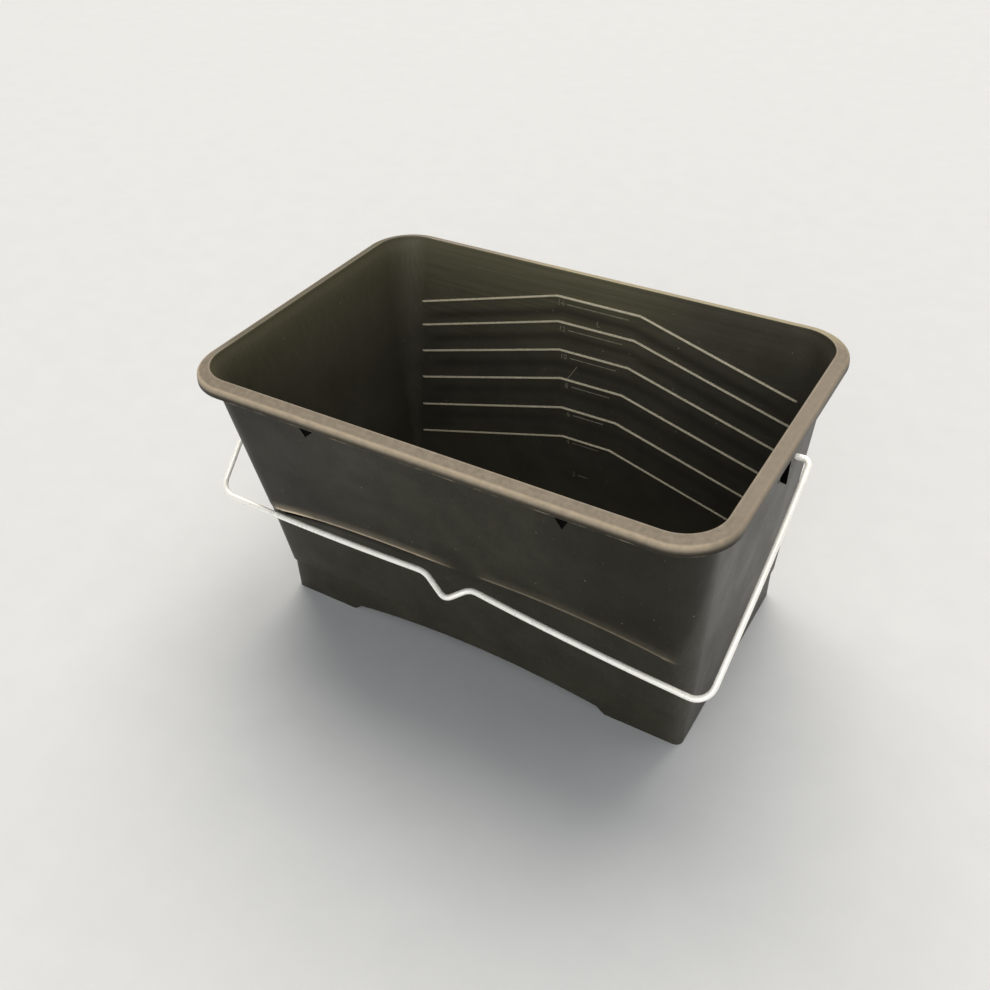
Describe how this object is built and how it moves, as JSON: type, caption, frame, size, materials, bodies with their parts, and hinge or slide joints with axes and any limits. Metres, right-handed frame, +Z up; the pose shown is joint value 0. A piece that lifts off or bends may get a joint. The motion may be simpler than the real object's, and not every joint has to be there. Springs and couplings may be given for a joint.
{
  "type": "roller scuttle",
  "caption": "Deep rectangular plastic roller scuttle with a flanged rim, roller ribs on the rear wall and a swinging wire bail handle.",
  "frame": {"origin": "on the surface that the feet stand on, below the centre of the rim", "axes": "+X along the long side of the rim, +Y towards the rear wall that has the ribs, +Z up"},
  "size_m": [0.4151, 0.2658, 0.2271],
  "materials": {
    "tub_plastic": "moulded recycled polypropylene, near black, fine satin grain, light scuffs on the rim and walls",
    "handle_wire": "zinc-plated drawn steel wire, bright with faint drawing lines"
  },
  "bodies": {
    "tub": {"tub": "tub_plastic"},
    "handle": {"wire_handle": "handle_wire"}
  },
  "joints": [
    {"name": "handle_swing", "type": "hinge", "parent": "tub", "child": "handle", "pos_m": [0, 0, 0.2091], "axis": [-1, 0, 0], "range_deg": [-8.5, 262]}
  ]
}
